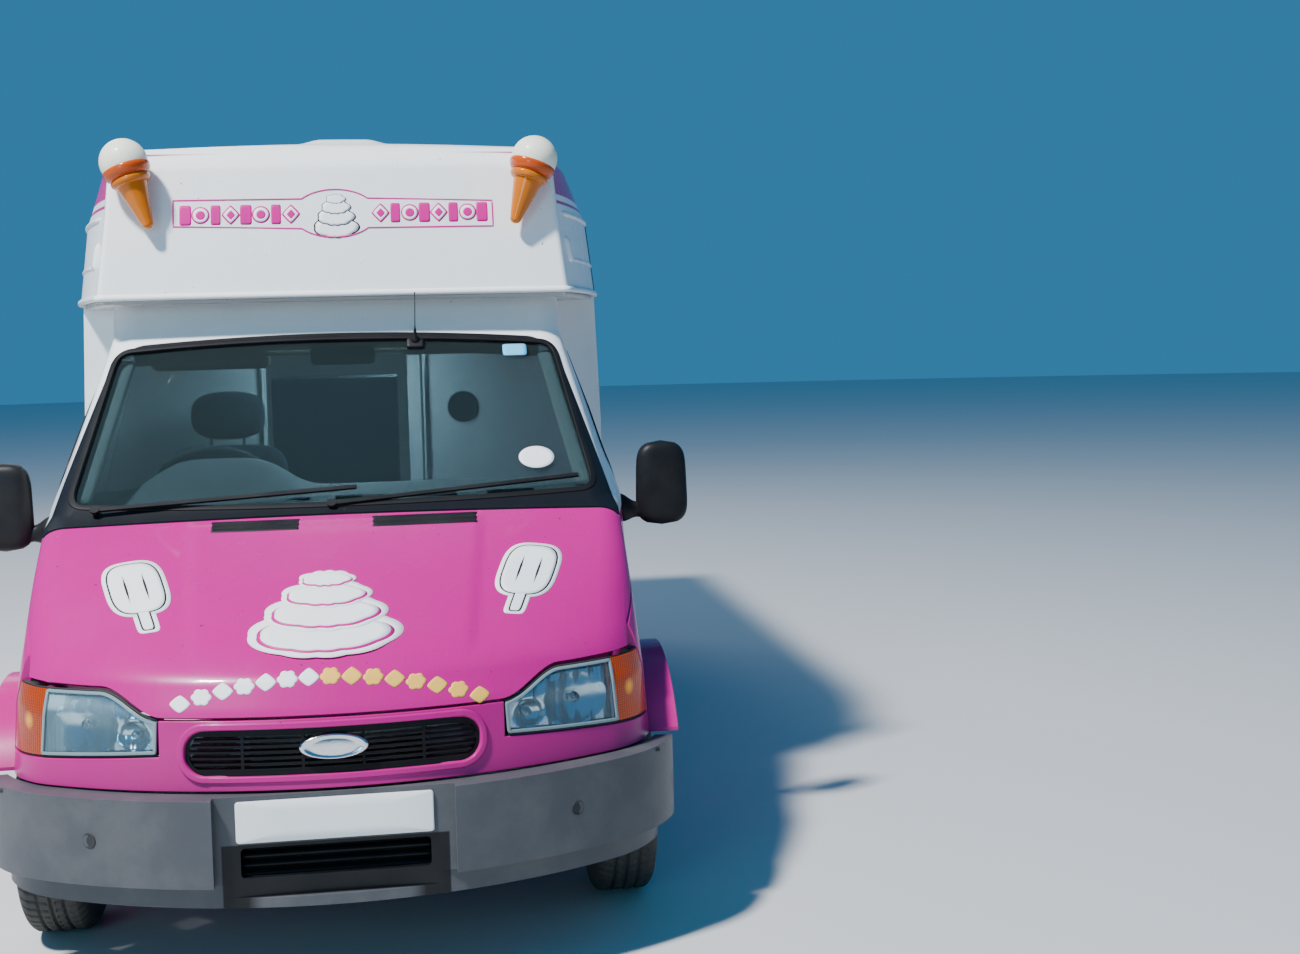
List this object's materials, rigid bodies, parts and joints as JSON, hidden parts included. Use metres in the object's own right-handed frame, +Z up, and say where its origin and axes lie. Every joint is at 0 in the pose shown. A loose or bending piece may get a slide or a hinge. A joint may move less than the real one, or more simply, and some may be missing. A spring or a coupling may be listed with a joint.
{
  "type": "ice cream van",
  "caption": "Ice cream van with a pink bonnet and nose, white coachbuilt body with over-cab moulding, two giant cones on its upper corners, opening doors and bonnet, and steered front wheels.",
  "frame": {"origin": "on the ground, at the middle of the van's length and width", "axes": "-Y towards the front of the van, +X towards its left (kerb) side, +Z up"},
  "size_m": [2.356, 5.6, 2.5119],
  "materials": {
    "white_paint": "gloss",
    "pink_paint": "gloss",
    "black_plastic": "satin",
    "grey_plastic": "satin",
    "dash_plastic": "matte",
    "lamp_lens": "gloss",
    "rear_lens": "gloss",
    "cone_plastic": "gloss",
    "glass": "clear",
    "chassis_steel": "satin",
    "engine_metal": "matte",
    "counter_steel": "brushed",
    "floor_board": "matte",
    "seat_fabric": "matte",
    "rim_steel": "satin",
    "tyre_rubber": "matte"
  },
  "bodies": {
    "van": {"chassis_frame": "chassis_steel", "front_subframe": "chassis_steel", "rear_axle": "chassis_steel", "engine_block": "engine_metal", "cab_shell": "white_paint", "wing_left": "pink_paint", "wing_right": "pink_paint", "nose_panel": "pink_paint", "grille": "black_plastic", "lamp_left": "lamp_lens", "lamp_right": "lamp_lens", "front_bumper": "grey_plastic", "windscreen": "glass", "dashboard": "dash_plastic", "driver_seat": "seat_fabric", "wipers": "black_plastic", "body_floor": "floor_board", "body_side_left": "white_paint", "body_side_right": "white_paint", "body_rear": "white_paint", "body_bulkhead": "white_paint", "roof_moulding": "white_paint", "serving_window": "glass", "serving_counter": "counter_steel", "ice_cream_machine": "counter_steel", "cone_left": "cone_plastic", "cone_right": "cone_plastic", "rear_bumper": "grey_plastic", "rear_lamp_left": "rear_lens", "rear_lamp_right": "rear_lens"},
    "bonnet": {"bonnet": "pink_paint"},
    "door_left": {"door_left": "white_paint", "door_glass_left": "glass", "mirror_left": "black_plastic"},
    "door_right": {"door_right": "white_paint", "door_glass_right": "glass", "mirror_right": "black_plastic"},
    "knuckle_left": {"knuckle_left": "chassis_steel"},
    "knuckle_right": {"knuckle_right": "chassis_steel"},
    "wheel_front_left": {"tyre_front_left": "tyre_rubber", "rim_front_left": "rim_steel"},
    "wheel_front_right": {"tyre_front_right": "tyre_rubber", "rim_front_right": "rim_steel"},
    "wheel_rear_left": {"tyre_rear_left": "tyre_rubber", "rim_rear_left": "rim_steel"},
    "wheel_rear_right": {"tyre_rear_right": "tyre_rubber", "rim_rear_right": "rim_steel"},
    "steering_wheel": {"steering_wheel": "black_plastic"}
  },
  "joints": [
    {"name": "bonnet_hinge", "type": "hinge", "parent": "van", "child": "bonnet", "pos_m": [0, -1.964, 1.234], "axis": [-1, 0, 0], "range_deg": [0, 55]},
    {"name": "door_left_hinge", "type": "hinge", "parent": "van", "child": "door_left", "pos_m": [0.963, -1.585, 1], "axis": [0, 0, -1], "range_deg": [0, 68]},
    {"name": "door_right_hinge", "type": "hinge", "parent": "van", "child": "door_right", "pos_m": [-0.963, -1.585, 1], "axis": [0, 0, 1], "range_deg": [0, 68]},
    {"name": "steer_left", "type": "hinge", "parent": "van", "child": "knuckle_left", "pos_m": [0.78, -1.985, 0.327], "axis": [0, 0, 1], "range_deg": [-35, 35]},
    {"name": "steer_right", "type": "hinge", "parent": "van", "child": "knuckle_right", "pos_m": [-0.78, -1.985, 0.327], "axis": [0, 0, 1], "range_deg": [-35, 35]},
    {"name": "wheel_front_left_spin", "type": "hinge", "parent": "knuckle_left", "child": "wheel_front_left", "pos_m": [0.845, -1.985, 0.327], "axis": [1, 0, 0], "continuous": true},
    {"name": "wheel_rear_left_spin", "type": "hinge", "parent": "van", "child": "wheel_rear_left", "pos_m": [0.845, 1.585, 0.327], "axis": [1, 0, 0], "continuous": true},
    {"name": "wheel_front_right_spin", "type": "hinge", "parent": "knuckle_right", "child": "wheel_front_right", "pos_m": [-0.845, -1.985, 0.327], "axis": [1, 0, 0], "continuous": true},
    {"name": "wheel_rear_right_spin", "type": "hinge", "parent": "van", "child": "wheel_rear_right", "pos_m": [-0.845, 1.585, 0.327], "axis": [1, 0, 0], "continuous": true},
    {"name": "steering_wheel_turn", "type": "hinge", "parent": "van", "child": "steering_wheel", "pos_m": [-0.445, -1.259, 1.281], "axis": [0, 0.7071, 0.7071], "range_deg": [-525, 525]}
  ],
  "couplings": [
    {"joint": "steer_right", "follows": "steer_left", "ratio": 1},
    {"joint": "steering_wheel_turn", "follows": "steer_left", "ratio": 15}
  ]
}
